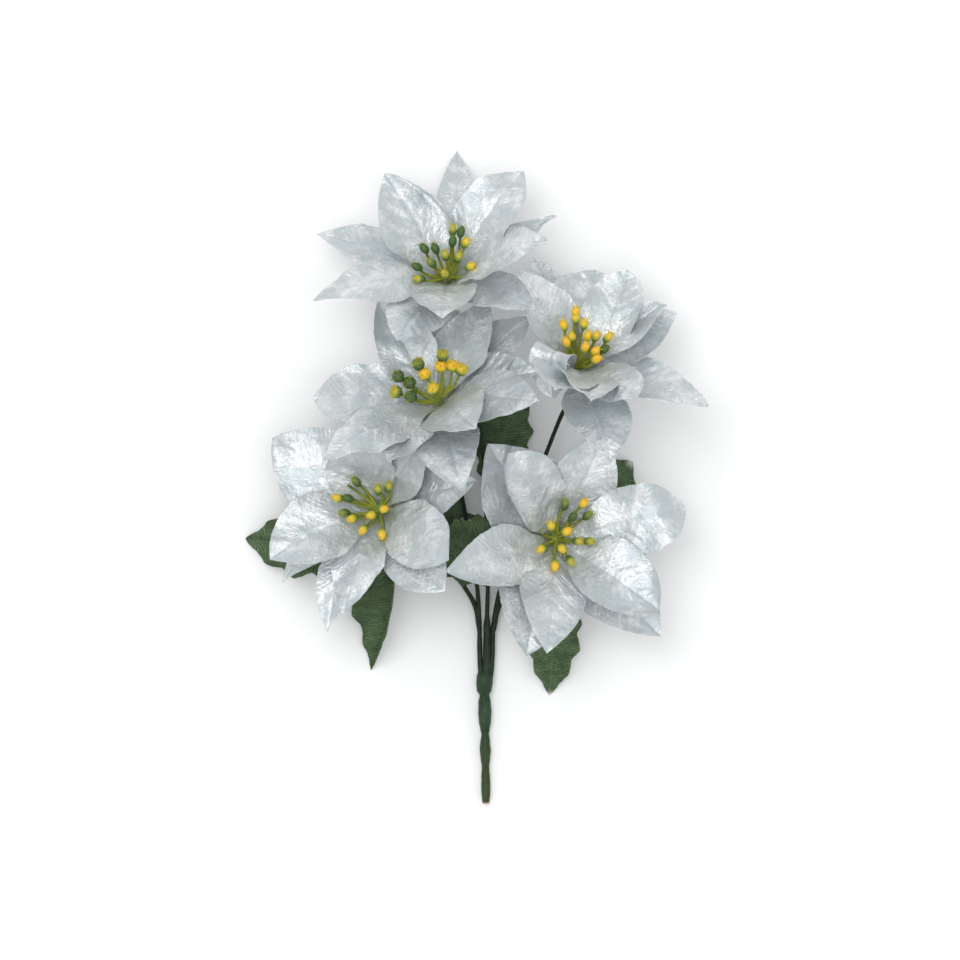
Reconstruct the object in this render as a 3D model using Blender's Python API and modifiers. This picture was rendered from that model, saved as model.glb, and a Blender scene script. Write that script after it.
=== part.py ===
"""A spray of five silvery white fabric poinsettias, laid on its back on a table.

One moulded stem forks into five branches. Each branch ends in a bloom: a back star and a front star of
petals on washers, with a tuft of berries on stalks over them. Three sprigs of green leaves ring the branches.
The frame is +X to the spray's right, +Y from the stem's cut end to the top bloom, +Z up from the table.
The tables below are in millimetres and degrees, and MM brings them to Blender's metres.
"""

import math
from typing import NamedTuple

import bmesh
import bpy
from mathutils import Matrix, Quaternion, Vector

MM = 0.001
UP = Vector((0.0, 0.0, 1.0))

# Driving sizes of what repeats on every bloom, in millimetres
SHEET = 0.8
CLEARANCE = 0.3
BRANCH_RADIUS = 1.2
BORE_RADIUS = BRANCH_RADIUS + CLEARANCE
BACK_HUB_RADIUS = 5.0
FRONT_HUB_RADIUS = 4.0
RING_RADIUS = 5.0
HUB_HEIGHT = 1.8
FRONT_HUB = 0.0
BACK_HUB = FRONT_HUB - HUB_HEIGHT - CLEARANCE
CALYX_TOP = BACK_HUB - HUB_HEIGHT / 2 - CLEARANCE
CALYX_HEIGHT = 7.0
CALYX_RADIUS = 3.6
LEAF_RING = -17.0
NECK_FOOT = LEAF_RING - 5.0
COLLAR_HEIGHT = 3.0
COLLAR_RADIUS = 2.4
TUFT_RADIUS = 2.8
TUFT_SPREAD = 2.2
TUFT_BOTTOM = FRONT_HUB + HUB_HEIGHT / 2 + CLEARANCE
TUFT_HEIGHT = 4.0
BRANCH_TIP = TUFT_BOTTOM + 1.5
STALK_LENGTH = 22.0
STALK_RADIUS = 0.65
BERRY_LENGTH = 5.4
BERRY_WIDTH = 4.2
ROOT_DEPTH = 1.4

# Facets: sides round a turned piece, bevel levels of a branch and a stalk, steps between two route points
HUB_SIDES = 8
TRUNK_SIDES = 10
BRANCH_SIDES_LEVEL = 1
STALK_SIDES_LEVEL = 0
ROUTE_STEPS = 2
SHARP_FROM = 50.0

# A petal's faces, and its width from root to tip as shares of its length and of its full width
PETAL_ROWS = 5
PETAL_COLUMNS = 4
PETAL_WIDEST_AT = 0.48
PETAL_ROOT_WIDTH = 0.14
PETAL_POINT = 1.8
ROLLED_AT = 0.3

# A leaf's faces, its stalk, and the teeth along each edge
LEAF_COLUMNS = 2
LEAF_STALK = 0.2
LEAF_STALK_WIDTH = 0.08
LEAF_WIDEST_AT = 0.42
LEAF_POINT = 1.7
LEAF_TEETH = 4
TOOTH_DEPTH = 0.17
TOOTH_TIP = 0.62


class Blade(NamedTuple):
    """A petal or a leaf, with its tip measured from its bloom's centre or its sprig's ring.

    arch is how steeply the root stands over the straight line to the tip, and droop how steeply the tip
    falls below it. bend bows the midrib to the right, seen from its root. cup and fold raise the edges, as
    shares of the half width. roll turns the blade about its midrib.
    """

    tip: tuple
    width: float
    arch: float = 15.0
    droop: float = 15.0
    bend: float = 0.0
    cup: float = 0.15
    fold: float = 0.0
    roll: float = 0.0


class Bloom(NamedTuple):
    """A bloom that faces lean degrees off straight up, toward a heading counted from +X to +Y."""

    centre: tuple
    lean: float
    heading: float
    front: tuple
    back: tuple
    berries: tuple


class Branch(NamedTuple):
    """A branch's route up to its bloom's neck, and how many of its first points a thicker sleeve covers."""

    route: tuple
    sleeve: int = 0


class Sprig(NamedTuple):
    """Leaves on one ring, round a branch at a point of its route, or under its bloom if knot is None."""

    branch: str
    knot: int
    leaves: tuple


BLOOMS = {
    "top": Bloom(
        centre=(-14.9, 107.4, 36),
        lean=42,
        heading=97,
        front=(
            Blade(tip=(-35, 59, -3), width=36, cup=0.3),
            Blade(tip=(42, 60, 2), width=37, cup=0.2),
            Blade(tip=(53, 21, 38), width=35, cup=0.1),
            Blade(tip=(-73, -12, 28), width=30, arch=28, droop=28, cup=-0.1),
            Blade(tip=(-3, -22, 62), width=36, cup=0.1),
        ),
        back=(
            Blade(tip=(4.5, 73.5, -35.6), width=26, bend=8),
            Blade(tip=(59, 34, 8), width=30, fold=-0.2),
            Blade(tip=(-72, 26, -10), width=34, arch=15, droop=15),
            Blade(tip=(-29, -33, 50), width=42, cup=0),
            Blade(tip=(47, -17, 46), width=31),
        ),
        berries=(
            (-13, 17), (-7, 17), (-17, 7), (-15.5, 0.5), (-9, 9), (-1.5, 13), (2.5, 27),
            (2.5, 21), (7, 26), (9.5, 20), (5.5, 12), (12, 7), (-1.5, 2.5),
        ),
    ),
    "middle": Bloom(
        centre=(-19.8, 40.0, 48),
        lean=42,
        heading=115,
        front=(
            Blade(tip=(-34, 56, -14), width=33, fold=0.15),
            Blade(tip=(28, 57, -8), width=36, cup=0.1),
            Blade(tip=(54, 0, 50), width=40, arch=22, cup=0.0),
            Blade(tip=(13, -15, 65), width=42, cup=0.1),
            Blade(tip=(-62, -30, 38), width=36, cup=-0.1),
        ),
        back=(
            Blade(tip=(-70, 3, -8), width=40, arch=20),
            Blade(tip=(10, 52, -19), width=38),
            Blade(tip=(51, 47, 1), width=34, arch=8),
            Blade(tip=(53, 17, 24), width=32),
            Blade(tip=(13, -47, 56), width=36),
            Blade(tip=(-35, -38, 38), width=34),
        ),
        berries=(
            (-22, 14.5), (-16, 11), (-23, 6), (-15, 3.5), (-11, 21), (-7.5, 15.5), (2, 25.5),
            (1, 19.5), (7, 20), (12, 18), (-3, 7.5),
        ),
    ),
    "right": Bloom(
        centre=(55.3, 59.2, 46),
        lean=48,
        heading=76,
        front=(
            Blade(tip=(29, 53, -6), width=42, cup=0.25),
            Blade(tip=(49, 36, -2), width=30, fold=0.15),
            Blade(tip=(30, -11, 58), width=36, cup=0.0),
            Blade(tip=(7, -19, 64), width=34),
            Blade(tip=(-23, -9, 59), width=40),
            Blade(tip=(-33, 54, 6), width=30, cup=0.3),
        ),
        back=(
            Blade(tip=(11, 54, -32), width=38),
            Blade(tip=(-24, 63, -25), width=28),
            Blade(tip=(55, 31, -10), width=40),
            Blade(tip=(71, -21, 24), width=36),
            Blade(tip=(17, -51, 52), width=38),
            Blade(tip=(-14, -17, 60), width=40),
        ),
        berries=(
            (-1, 30), (-1, 26.5), (-7.5, 23), (3.5, 23.5), (-3, 16.5), (-6, 13.5), (5.5, 17),
            (10, 17), (16.5, 16.5), (4, 11), (9.5, 9), (14.5, 10), (10, 4.5),
        ),
    ),
    "left": Bloom(
        centre=(-51.9, -18.5, 34),
        lean=28,
        heading=153,
        front=(
            Blade(tip=(-60, -26, 18), width=34),
            Blade(tip=(-20, -56, 30), width=34, fold=-0.2),
            Blade(tip=(38, -24, 50), width=36, cup=0.1),
            Blade(tip=(28, 45, 28), width=36, cup=0.2),
            Blade(tip=(-19, 57, 10), width=36),
        ),
        back=(
            Blade(tip=(-60, 39, -5), width=48, arch=22),
            Blade(tip=(52, 17, 38), width=34),
            Blade(tip=(35, -43, 42), width=36),
            Blade(tip=(-29, -66, 14), width=38),
            Blade(tip=(-54, -39, -2), width=22, arch=20, bend=18),
            Blade(tip=(4, 62, -8), width=34),
        ),
        berries=(
            (-13, 16), (-1, 11.5), (4.5, 13), (-24.5, 7.5), (-17.5, 7.5), (-19.5, 0), (-15, -3),
            (-8.5, -9), (1, -12.5), (-4.5, -1.5), (2.5, 0.5), (-9, 3),
        ),
    ),
    "lower": Bloom(
        centre=(43.6, -34.0, 34),
        lean=16,
        heading=27,
        front=(
            Blade(tip=(-19, 48, 38), width=36, cup=0.2),
            Blade(tip=(70, 23, 16), width=42, bend=6, cup=0.1),
            Blade(tip=(56, -41, 24), width=38, cup=0.3),
            Blade(tip=(-5, -61, 38), width=38, cup=0.0),
            Blade(tip=(-60, -17, 40), width=38, cup=0.2),
        ),
        back=(
            Blade(tip=(-37, 51, 22), width=42),
            Blade(tip=(28, 60, 16), width=38),
            Blade(tip=(57, -52, 8), width=36),
            Blade(tip=(-16, -63, 28), width=42),
            Blade(tip=(54, 2, 0), width=30),
            Blade(tip=(-50, -18, 24), width=32),
        ),
        berries=(
            (2.5, 16.5), (11, 17), (6.5, 11.5), (14, 11.5), (-4, 7.5), (5, 5.5), (9.5, 1),
            (16, 1), (3, -2), (-8, -2), (7.5, -9.5), (-0.5, -11.5),
        ),
    ),
}

BRANCHES = {
    "middle": Branch(
        route=(
            (3.4, -116, 4.8), (2.4, -99.5, 5.2), (2.1, -81.3, 5.6), (0.9, -61, 6.6),
            (-2.5, -39.8, 9.5), (-6, -19.1, 14), (-10.4, 3.8, 20),
        ),
    ),
    "top": Branch(
        route=(
            (5.6, -116, 5.2), (6.3, -95, 6.2), (6.4, -76, 6.8), (6.8, -57, 7.5), (6.0, -23.4, 9),
            (5.6, -1.6, 10), (1.7, 28.9, 10), (-5, 55, 9), (-10.5, 76, 8.5),
        ),
        sleeve=2,
    ),
    "right": Branch(
        route=(
            (7.8, -116, 4.8), (9.2, -99.5, 5.2), (10, -81.3, 5.6), (13.4, -62.7, 6.8),
            (21.5, -38, 9), (30, -12, 12), (38, 10.4, 16), (46, 31, 22.5),
        ),
    ),
    "left": Branch(
        route=((2.3, -85, 5.6), (0, -72, 5.7), (-6.4, -60.5, 6), (-16, -46, 7), (-29, -33, 8.5)),
    ),
    "lower": Branch(
        route=((9.8, -85, 5.6), (13, -71.5, 5.7), (19.8, -63, 6), (29, -52, 6.5)),
    ),
}

SPRIGS = {
    "left": Sprig(
        branch="left",
        knot=None,
        leaves=(
            Blade(tip=(-83, -12, -18.6), width=44, bend=-18),
            Blade(tip=(-12, -85, -18.4), width=32, bend=-14, fold=0.8, roll=36),
            Blade(tip=(-25, 46, -12), width=34),
        ),
    ),
    "middle": Sprig(
        branch="top",
        knot=4,
        leaves=(
            Blade(tip=(19, 78, -3), width=34, arch=0, bend=-8, fold=-0.2, roll=-10),
            Blade(tip=(-46, 13, -6), width=38, arch=-8, cup=0.0),
        ),
    ),
    "lower": Sprig(
        branch="lower",
        knot=None,
        leaves=(
            Blade(tip=(48, 45, -17.2), width=42),
            Blade(tip=(3, -85.5, -17.2), width=38, bend=-6),
            Blade(tip=(-72, -8, 4), width=42),
        ),
    ),
}

# The trunk's knobbly outline as distances along it and radii, from the cut end up
TRUNK_END = (5.8, -181.0, 2.4)
TRUNK_HEAD = (4.8, -108.0, 5.0)
TRUNK_OUTLINE = (
    (0, 1.9), (1.5, 2.4), (18, 2.5), (20, 2.9), (36, 2.9), (39, 2.2), (41.5, 3.6), (55, 3.7),
    (58.3, 2.7), (61, 4.3), (65.5, 4.7), (70, 4.4), (73, 3.0),
)

COLOURS = {
    "stem": ((0.045, 0.10, 0.045), 0.55),
    "petals": ((0.78, 0.83, 0.86), 0.38),
    "tuft": ((0.48, 0.50, 0.05), 0.5),
    "leaves": ((0.05, 0.13, 0.06), 0.7),
}


def clear_scene():
    for thing in list(bpy.data.objects):
        bpy.data.objects.remove(thing, do_unlink=True)


def make_material(name, kind):
    colour, roughness = COLOURS[kind]
    paint = bpy.data.materials.new(name)
    paint.use_nodes = True
    shader = paint.node_tree.nodes["Principled BSDF"]
    shader.inputs["Base Color"].default_value = (*colour, 1.0)
    shader.inputs["Roughness"].default_value = roughness
    shader.inputs["Metallic"].default_value = 0.0
    return paint


def new_object(name, mesh):
    thing = bpy.data.objects.new(name, mesh)
    bpy.context.scene.collection.objects.link(thing)
    return thing


def baked(thing):
    """Turn an object with its modifiers, or a curve, into a plain mesh object in its place."""
    bpy.context.view_layer.update()
    evaluated = thing.evaluated_get(bpy.context.evaluated_depsgraph_get())
    mesh = bpy.data.meshes.new_from_object(evaluated)
    mesh.transform(thing.matrix_world)
    name = thing.name
    bpy.data.objects.remove(thing, do_unlink=True)
    return new_object(name, mesh)


def weld(thing):
    """Close the seams and the loose caps of a turned shape or a tube."""
    form = bmesh.new()
    form.from_mesh(thing.data)
    bmesh.ops.remove_doubles(form, verts=form.verts, dist=0.01 * MM)
    form.to_mesh(thing.data)
    form.free()
    return thing


def fused(name, kind, pieces, collection):
    """Join pieces that cross each other into one body with a material of its own."""
    base, others = pieces[0], pieces[1:]
    group = bpy.data.collections.new(name + "_pieces")
    bpy.context.scene.collection.children.link(group)
    for piece in others:
        group.objects.link(piece)
    union = base.modifiers.new("union", "BOOLEAN")
    union.operation = "UNION"
    union.operand_type = "COLLECTION"
    union.collection = group
    union.solver = "MANIFOLD"
    body = baked(base)
    for piece in others:
        bpy.data.objects.remove(piece, do_unlink=True)
    bpy.data.collections.remove(group)
    body.name = name
    body.data.name = name
    body.data.materials.clear()
    body.data.materials.append(make_material(name, kind))
    body.data.shade_smooth()
    body.data.set_sharp_from_angle(angle=math.radians(SHARP_FROM))
    bpy.context.scene.collection.objects.unlink(body)
    collection.objects.link(body)
    return body


def standing(place, axis):
    """The matrix that moves a piece turned about Z to a place, in millimetres, and points it along axis."""
    return Matrix.Translation(place * MM) @ axis.to_track_quat("Z", "Y").to_matrix().to_4x4()


def turned(name, outline, sides, place, axis):
    """Spin an outline of heights and radii, in millimetres, round an axis at a place."""
    mesh = bpy.data.meshes.new(name)
    points = [(radius * MM, 0.0, height * MM) for height, radius in reversed(outline)]
    closed = outline[0] == outline[-1]
    if closed:
        points = points[:-1]
    edges = [(at, at + 1) for at in range(len(points) - 1)]
    if closed:
        edges.append((len(points) - 1, 0))
    mesh.from_pydata(points, edges, [])
    thing = new_object(name, mesh)
    screw = thing.modifiers.new("screw", "SCREW")
    screw.steps = sides
    screw.render_steps = sides
    screw.use_merge_vertices = True
    screw.merge_threshold = 0.01 * MM
    thing.matrix_world = standing(place, axis)
    return weld(baked(thing))


def washer(name, place, axis, radius):
    half = HUB_HEIGHT / 2
    outline = (
        (-half, BORE_RADIUS), (-half, radius), (half, radius), (half, BORE_RADIUS), (-half, BORE_RADIUS),
    )
    return turned(name, outline, HUB_SIDES, place, axis)


def tube(name, points, radius, sides_level, scales=None):
    """Sweep a round section along points in millimetres."""
    curve = bpy.data.curves.new(name, "CURVE")
    curve.dimensions = "3D"
    curve.bevel_depth = radius * MM
    curve.bevel_resolution = sides_level
    curve.use_fill_caps = True
    spline = curve.splines.new("POLY")
    spline.points.add(len(points) - 1)
    for at, point in enumerate(points):
        spline.points[at].co = (*(point * MM), 1.0)
        spline.points[at].radius = scales[at] if scales else 1.0
    return weld(baked(new_object(name, curve)))


def bloom_axis(bloom):
    lean = math.radians(bloom.lean)
    heading = math.radians(bloom.heading)
    return Vector((math.sin(lean) * math.cos(heading), math.sin(lean) * math.sin(heading), math.cos(lean)))


def smooth_route(points, lead):
    """Run a smooth curve through the points and on toward lead, with a few steps between each two."""
    route = []
    for at in range(len(points) - 1):
        before, start, end = points[max(at - 1, 0)], points[at], points[at + 1]
        after = points[at + 2] if at + 2 < len(points) else lead
        for step in range(ROUTE_STEPS):
            t = step / ROUTE_STEPS
            route.append(0.5 * (
                2 * start + (end - before) * t
                + (2 * before - 5 * start + 4 * end - after) * t ** 2
                + (3 * start - before - 3 * end + after) * t ** 3
            ))
    route.append(points[-1])
    return route


def branch_route(name):
    """The branch's own points up to the foot of its straight neck, and its tip in the tuft."""
    bloom = BLOOMS[name]
    centre, axis = Vector(bloom.centre), bloom_axis(bloom)
    points = [Vector(point) for point in BRANCHES[name].route]
    return points + [centre + axis * NECK_FOOT], centre + axis * BRANCH_TIP


def sprig_seat(sprig):
    """Where a sprig's ring sits, and which way the branch runs through it."""
    if sprig.knot is None:
        bloom = BLOOMS[sprig.branch]
        axis = bloom_axis(bloom)
        return Vector(bloom.centre) + axis * LEAF_RING, axis
    route, _ = branch_route(sprig.branch)
    return route[sprig.knot], (route[sprig.knot + 1] - route[sprig.knot - 1]).normalized()


def trunk():
    end, head = Vector(TRUNK_END), Vector(TRUNK_HEAD)
    outline = ((0, 0), *TRUNK_OUTLINE, (TRUNK_OUTLINE[-1][0], 0))
    return turned("trunk", outline, TRUNK_SIDES, end, (head - end).normalized())


def branch_piece(name):
    points, tip = branch_route(name)
    route = smooth_route(points, tip) + [tip]
    sleeve = BRANCHES[name].sleeve * ROUTE_STEPS
    scales = [1.6 if at < sleeve else 1.0 for at in range(len(route))]
    return tube("branch_" + name, route, BRANCH_RADIUS, BRANCH_SIDES_LEVEL, scales)


def calyx(name):
    """The moulded cup that a bloom's washers sit on."""
    bloom = BLOOMS[name]
    bottom = CALYX_TOP - CALYX_HEIGHT
    outline = (
        (bottom, 0), (bottom, 1.3), (bottom + 2.0, 2.2), (CALYX_TOP - 1.0, CALYX_RADIUS),
        (CALYX_TOP, CALYX_RADIUS), (CALYX_TOP, 0),
    )
    return turned("calyx_" + name, outline, HUB_SIDES, Vector(bloom.centre), bloom_axis(bloom))


def collar(name):
    """The moulded stop that a sprig's ring sits on."""
    seat, axis = sprig_seat(SPRIGS[name])
    top = -HUB_HEIGHT / 2 - CLEARANCE
    bottom = top - COLLAR_HEIGHT
    outline = ((bottom, 0), (bottom, 1.3), (top - 0.8, COLLAR_RADIUS), (top, COLLAR_RADIUS), (top, 0))
    return turned("collar_" + name, outline, HUB_SIDES, seat, axis)


def stem(collection):
    pieces = [trunk()]
    pieces += [branch_piece(name) for name in BRANCHES]
    pieces += [calyx(name) for name in BLOOMS]
    pieces += [collar(name) for name in SPRIGS]
    return fused("stem", "stem", pieces, collection)


def petal_rows():
    """How far along a petal each row of points lies, and how wide the petal is there."""
    rows = []
    for row in range(PETAL_ROWS):
        along = row / PETAL_ROWS
        if along < PETAL_WIDEST_AT:
            rise = along / PETAL_WIDEST_AT
            share = PETAL_ROOT_WIDTH + (1 - PETAL_ROOT_WIDTH) * rise ** 2 * (3 - 2 * rise)
        else:
            share = 1 - ((along - PETAL_WIDEST_AT) / (1 - PETAL_WIDEST_AT)) ** PETAL_POINT
        rows.append((along, share))
    return rows


def leaf_rows():
    """A narrow stalk, and then a blade whose edge steps out to a tooth and back to a notch."""
    rows = [(0.0, LEAF_STALK_WIDTH), (LEAF_STALK * 0.5, LEAF_STALK_WIDTH), (LEAF_STALK, LEAF_STALK_WIDTH)]
    for tooth in range(LEAF_TEETH):
        for part, depth in ((TOOTH_TIP, 0.0), (1.0, TOOTH_DEPTH)):
            blade = (tooth + part) / (LEAF_TEETH + 0.55)
            if blade < LEAF_WIDEST_AT:
                share = math.sin(math.pi / 2 * (0.25 + 0.75 * blade / LEAF_WIDEST_AT))
            else:
                share = 1 - ((blade - LEAF_WIDEST_AT) / (1 - LEAF_WIDEST_AT)) ** LEAF_POINT
            rows.append((LEAF_STALK + (1 - LEAF_STALK) * blade, share * (1 - depth)))
    return rows


def blade_sheet(blade, centre, axis, root_radius, facing, rows, columns):
    """The points of a blade's middle surface, row by row, with a single point at the tip."""
    offset = Vector(blade.tip)
    tip = centre + offset
    outward = (offset - axis * offset.dot(axis)).normalized()
    root = centre + outward * root_radius
    chord = tip - root
    length = chord.length
    along = chord.normalized()
    side = facing.cross(along).normalized()
    over = along.cross(side)
    arch, droop, bend = math.radians(blade.arch), math.radians(blade.droop), math.radians(blade.bend)
    bow = side * math.tan(bend)
    lift = root + (along * math.cos(arch) + over * math.sin(arch) - bow) * length / 3
    fall = tip - (along * math.cos(droop) - over * math.sin(droop) + bow) * length / 3
    sheet = []
    for t, share in rows:
        s = 1 - t
        middle = root * s ** 3 + lift * (3 * s * s * t) + fall * (3 * s * t * t) + tip * t ** 3
        run = ((lift - root) * s * s + (fall - lift) * (2 * s * t) + (tip - fall) * t * t).normalized()
        turn = Quaternion(run, math.radians(blade.roll) * min(t / ROLLED_AT, 1.0))
        across = turn @ (side - run * side.dot(run)).normalized()
        face = run.cross(across)
        half = blade.width * share / 2
        points = []
        for column in range(columns + 1):
            v = 2 * column / columns - 1
            raised = blade.cup * v * v + blade.fold * abs(v)
            points.append(middle + across * (half * v) + face * (half * raised))
        sheet.append(points)
    sheet.append([tip])
    return sheet


def sheet_normals(sheet, columns):
    """The direction that each point of a sheet faces."""
    normals = []
    for row, points in enumerate(sheet[:-1]):
        below = sheet[max(row - 1, 0)]
        above = sheet[row + 1] if len(sheet[row + 1]) > 1 else sheet[-1] * (columns + 1)
        normals.append([])
        for column in range(columns + 1):
            along = above[column] - below[column]
            across = points[min(column + 1, columns)] - points[max(column - 1, 0)]
            normals[-1].append(along.cross(across).normalized())
    normals.append([normals[-1][columns // 2]])
    return normals


def blade_piece(name, sheet, columns):
    """Give a sheet its thickness. Both faces are split into the same triangles."""
    form = bmesh.new()
    normals = sheet_normals(sheet, columns)
    sides = []
    for shift in (SHEET / 2, -SHEET / 2):
        sides.append([
            [form.verts.new((point + normal * shift) * MM) for point, normal in zip(points, facing)]
            for points, facing in zip(sheet, normals)
        ])
    triangles = []
    for row in range(len(sheet) - 2):
        for column in range(columns):
            a, b = (row, column), (row, column + 1)
            c, d = (row + 1, column + 1), (row + 1, column)
            split = ((a, b, c), (a, c, d)) if column < columns / 2 else ((a, b, d), (b, c, d))
            triangles.extend(split)
    last = len(sheet) - 2
    triangles.extend(((last, column), (last, column + 1), (last + 1, 0)) for column in range(columns))
    for side, order in ((sides[0], 1), (sides[1], -1)):
        for triangle in triangles:
            form.faces.new([side[row][column] for row, column in triangle][::order])
    rim = [(0, column) for column in range(columns + 1)]
    rim += [(row, columns) for row in range(1, last + 1)]
    rim += [(last + 1, 0)]
    rim += [(row, 0) for row in range(last, 0, -1)]
    for at, start in enumerate(rim):
        end = rim[(at + 1) % len(rim)]
        upper, lower = sides
        corners = [upper[start[0]][start[1]], lower[start[0]][start[1]]]
        ends = [upper[end[0]][end[1]], lower[end[0]][end[1]]]
        form.faces.new((corners[0], corners[1], ends[1]))
        form.faces.new((corners[0], ends[1], ends[0]))
    bmesh.ops.recalc_face_normals(form, faces=form.faces)
    mesh = bpy.data.meshes.new(name)
    form.to_mesh(mesh)
    form.free()
    return new_object(name, mesh)


def petal_star(name, bloom, petals, hub, radius, collection):
    axis = bloom_axis(bloom)
    seat = Vector(bloom.centre) + axis * hub
    pieces = [washer(name + "_washer", seat, axis, radius)]
    for at, petal in enumerate(petals):
        shifted = petal._replace(tip=tuple(Vector(petal.tip) - axis * hub))
        sheet = blade_sheet(shifted, seat, axis, radius - ROOT_DEPTH, axis, petal_rows(), PETAL_COLUMNS)
        pieces.append(blade_piece(f"{name}_{at}", sheet, PETAL_COLUMNS))
    return fused(name, "petals", pieces, collection)


def leaf_star(name, sprig, collection):
    seat, axis = sprig_seat(sprig)
    pieces = [washer(name + "_ring", seat, axis, RING_RADIUS)]
    for at, leaf in enumerate(sprig.leaves):
        sheet = blade_sheet(leaf, seat, axis, RING_RADIUS - ROOT_DEPTH, UP, leaf_rows(), LEAF_COLUMNS)
        pieces.append(blade_piece(f"{name}_{at}", sheet, LEAF_COLUMNS))
    return fused(name, "leaves", pieces, collection)


def berry(name, place, axis):
    form = bmesh.new()
    bmesh.ops.create_icosphere(form, subdivisions=1, radius=0.5 * MM)
    mesh = bpy.data.meshes.new(name)
    form.to_mesh(mesh)
    form.free()
    mesh.transform(Matrix.Diagonal((BERRY_WIDTH, BERRY_WIDTH, BERRY_LENGTH, 1.0)))
    mesh.transform(standing(place, axis))
    return new_object(name, mesh)


def tuft(name, bloom, collection):
    """A moulded button that plugs onto the branch's tip, with its berries on stalks."""
    axis = bloom_axis(bloom)
    centre = Vector(bloom.centre)
    top = TUFT_BOTTOM + TUFT_HEIGHT
    socket = BRANCH_TIP + CLEARANCE
    outline = (
        (socket, 0), (socket, BORE_RADIUS), (TUFT_BOTTOM, BORE_RADIUS), (TUFT_BOTTOM, TUFT_RADIUS),
        (top - 1.2, TUFT_RADIUS), (top, TUFT_RADIUS * 0.6), (top, 0),
    )
    pieces = [turned(name + "_button", outline, HUB_SIDES, centre, axis)]
    for at, plan in enumerate(bloom.berries):
        reach = Vector((*plan, 0.0))
        height = math.sqrt(max(STALK_LENGTH ** 2 - reach.length_squared, 0.0))
        spot = centre + reach + UP * max(height, 6.0)
        aim = (spot - centre).normalized()
        foot = centre + axis * (top - 1.4) + (aim - axis * aim.dot(axis)) * TUFT_SPREAD
        pieces.append(tube(f"{name}_stalk_{at}", (foot, spot), STALK_RADIUS, STALK_SIDES_LEVEL))
        pieces.append(berry(f"{name}_berry_{at}", spot, (spot - foot).normalized()))
    return fused(name, "tuft", pieces, collection)


def build():
    clear_scene()
    spray = bpy.data.collections.new("poinsettia_spray")
    bpy.context.scene.collection.children.link(spray)
    stem(spray)
    for name, bloom in BLOOMS.items():
        petal_star("back_petals_" + name, bloom, bloom.back, BACK_HUB, BACK_HUB_RADIUS, spray)
        petal_star("front_petals_" + name, bloom, bloom.front, FRONT_HUB, FRONT_HUB_RADIUS, spray)
        tuft("tuft_" + name, bloom, spray)
    for name, sprig in SPRIGS.items():
        leaf_star("leaves_" + name, sprig, spray)


build()
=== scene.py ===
"""The looks of a spray of silvery white fabric poinsettias that lies on its back on a table.

The frame is the CAD's: +X to the spray's right, +Y from the stem's cut end to the top bloom, +Z up.
The tables are in millimetres and degrees, and MM brings them to Blender's metres.
"""

import math
from typing import NamedTuple

import bmesh
import bpy
from mathutils import Matrix, Quaternion, Vector, noise


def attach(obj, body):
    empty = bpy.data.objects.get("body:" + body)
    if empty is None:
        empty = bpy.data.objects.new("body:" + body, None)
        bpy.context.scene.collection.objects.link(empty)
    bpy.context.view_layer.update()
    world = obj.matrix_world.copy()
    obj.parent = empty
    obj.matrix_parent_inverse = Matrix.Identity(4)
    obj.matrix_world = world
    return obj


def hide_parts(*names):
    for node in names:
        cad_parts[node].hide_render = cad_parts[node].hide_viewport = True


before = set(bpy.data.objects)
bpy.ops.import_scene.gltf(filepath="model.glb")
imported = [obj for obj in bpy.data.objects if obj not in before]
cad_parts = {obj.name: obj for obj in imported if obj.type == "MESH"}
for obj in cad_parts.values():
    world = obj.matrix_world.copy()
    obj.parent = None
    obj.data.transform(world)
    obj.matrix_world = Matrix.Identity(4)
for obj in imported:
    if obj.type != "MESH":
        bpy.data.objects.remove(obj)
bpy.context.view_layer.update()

MM = 0.001
UP = Vector((0.0, 0.0, 1.0))

# Sizes of the moulded parts, as in the CAD
BRANCH_RADIUS = 1.2
BACK_HUB_RADIUS = 5.0
FRONT_HUB_RADIUS = 4.0
RING_RADIUS = 5.0
HUB_HEIGHT = 1.8
CLEARANCE = 0.3
FRONT_HUB = 0.0
BACK_HUB = FRONT_HUB - HUB_HEIGHT - CLEARANCE
CALYX_TOP = BACK_HUB - HUB_HEIGHT / 2 - CLEARANCE
CALYX_HEIGHT = 7.0
CALYX_RADIUS = 3.6
LEAF_RING = -17.0
NECK_FOOT = LEAF_RING - 5.0
COLLAR_HEIGHT = 3.0
COLLAR_RADIUS = 2.4
BUTTON_BOTTOM = FRONT_HUB + HUB_HEIGHT / 2 + CLEARANCE
BUTTON_HEIGHT = 4.0
BUTTON_RADIUS = 2.8
BRANCH_TIP = BUTTON_BOTTOM + 1.5
ROOT_DEPTH = 1.4
SLEEVE_SCALE = 1.6
FOOT_SWELL = 0.3

# Berries and their stalks
STALK_LENGTH = 22.0
LOWEST_BERRY = 14.0
STALK_RADIUS = 0.85
STALK_SPREAD = 3.4
STALK_BOW = 5.0
BERRY_LENGTH = 7.2
BERRY_WIDTH = 4.6
BUMPY_WIDTH = 6.4
SPIKES = 7
SPIKE_LENGTH = 2.2
SPIKE_RADIUS = 0.22
BUMPY_SPIKE_RADIUS = 0.42
BERRY_NOD = 0.9
GREEN, OLIVE, AMBER, YELLOW, ORANGE = 0.0, 0.36, 0.56, 0.8, 1.0
BARE = -1.0

# Cloth: thickness, and how many faces a blade has along and across
CLOTH = 0.3
LOWEST = 0.2
PETAL_ROWS = 48
PETAL_COLUMNS = 30
LEAF_ROWS = 84
LEAF_COLUMNS = 20
HUB_SIDES = 32
BLADE_STEP = 2.37
HUB_RINGS = (0.05, 0.35, 0.7, 1.0)

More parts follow.
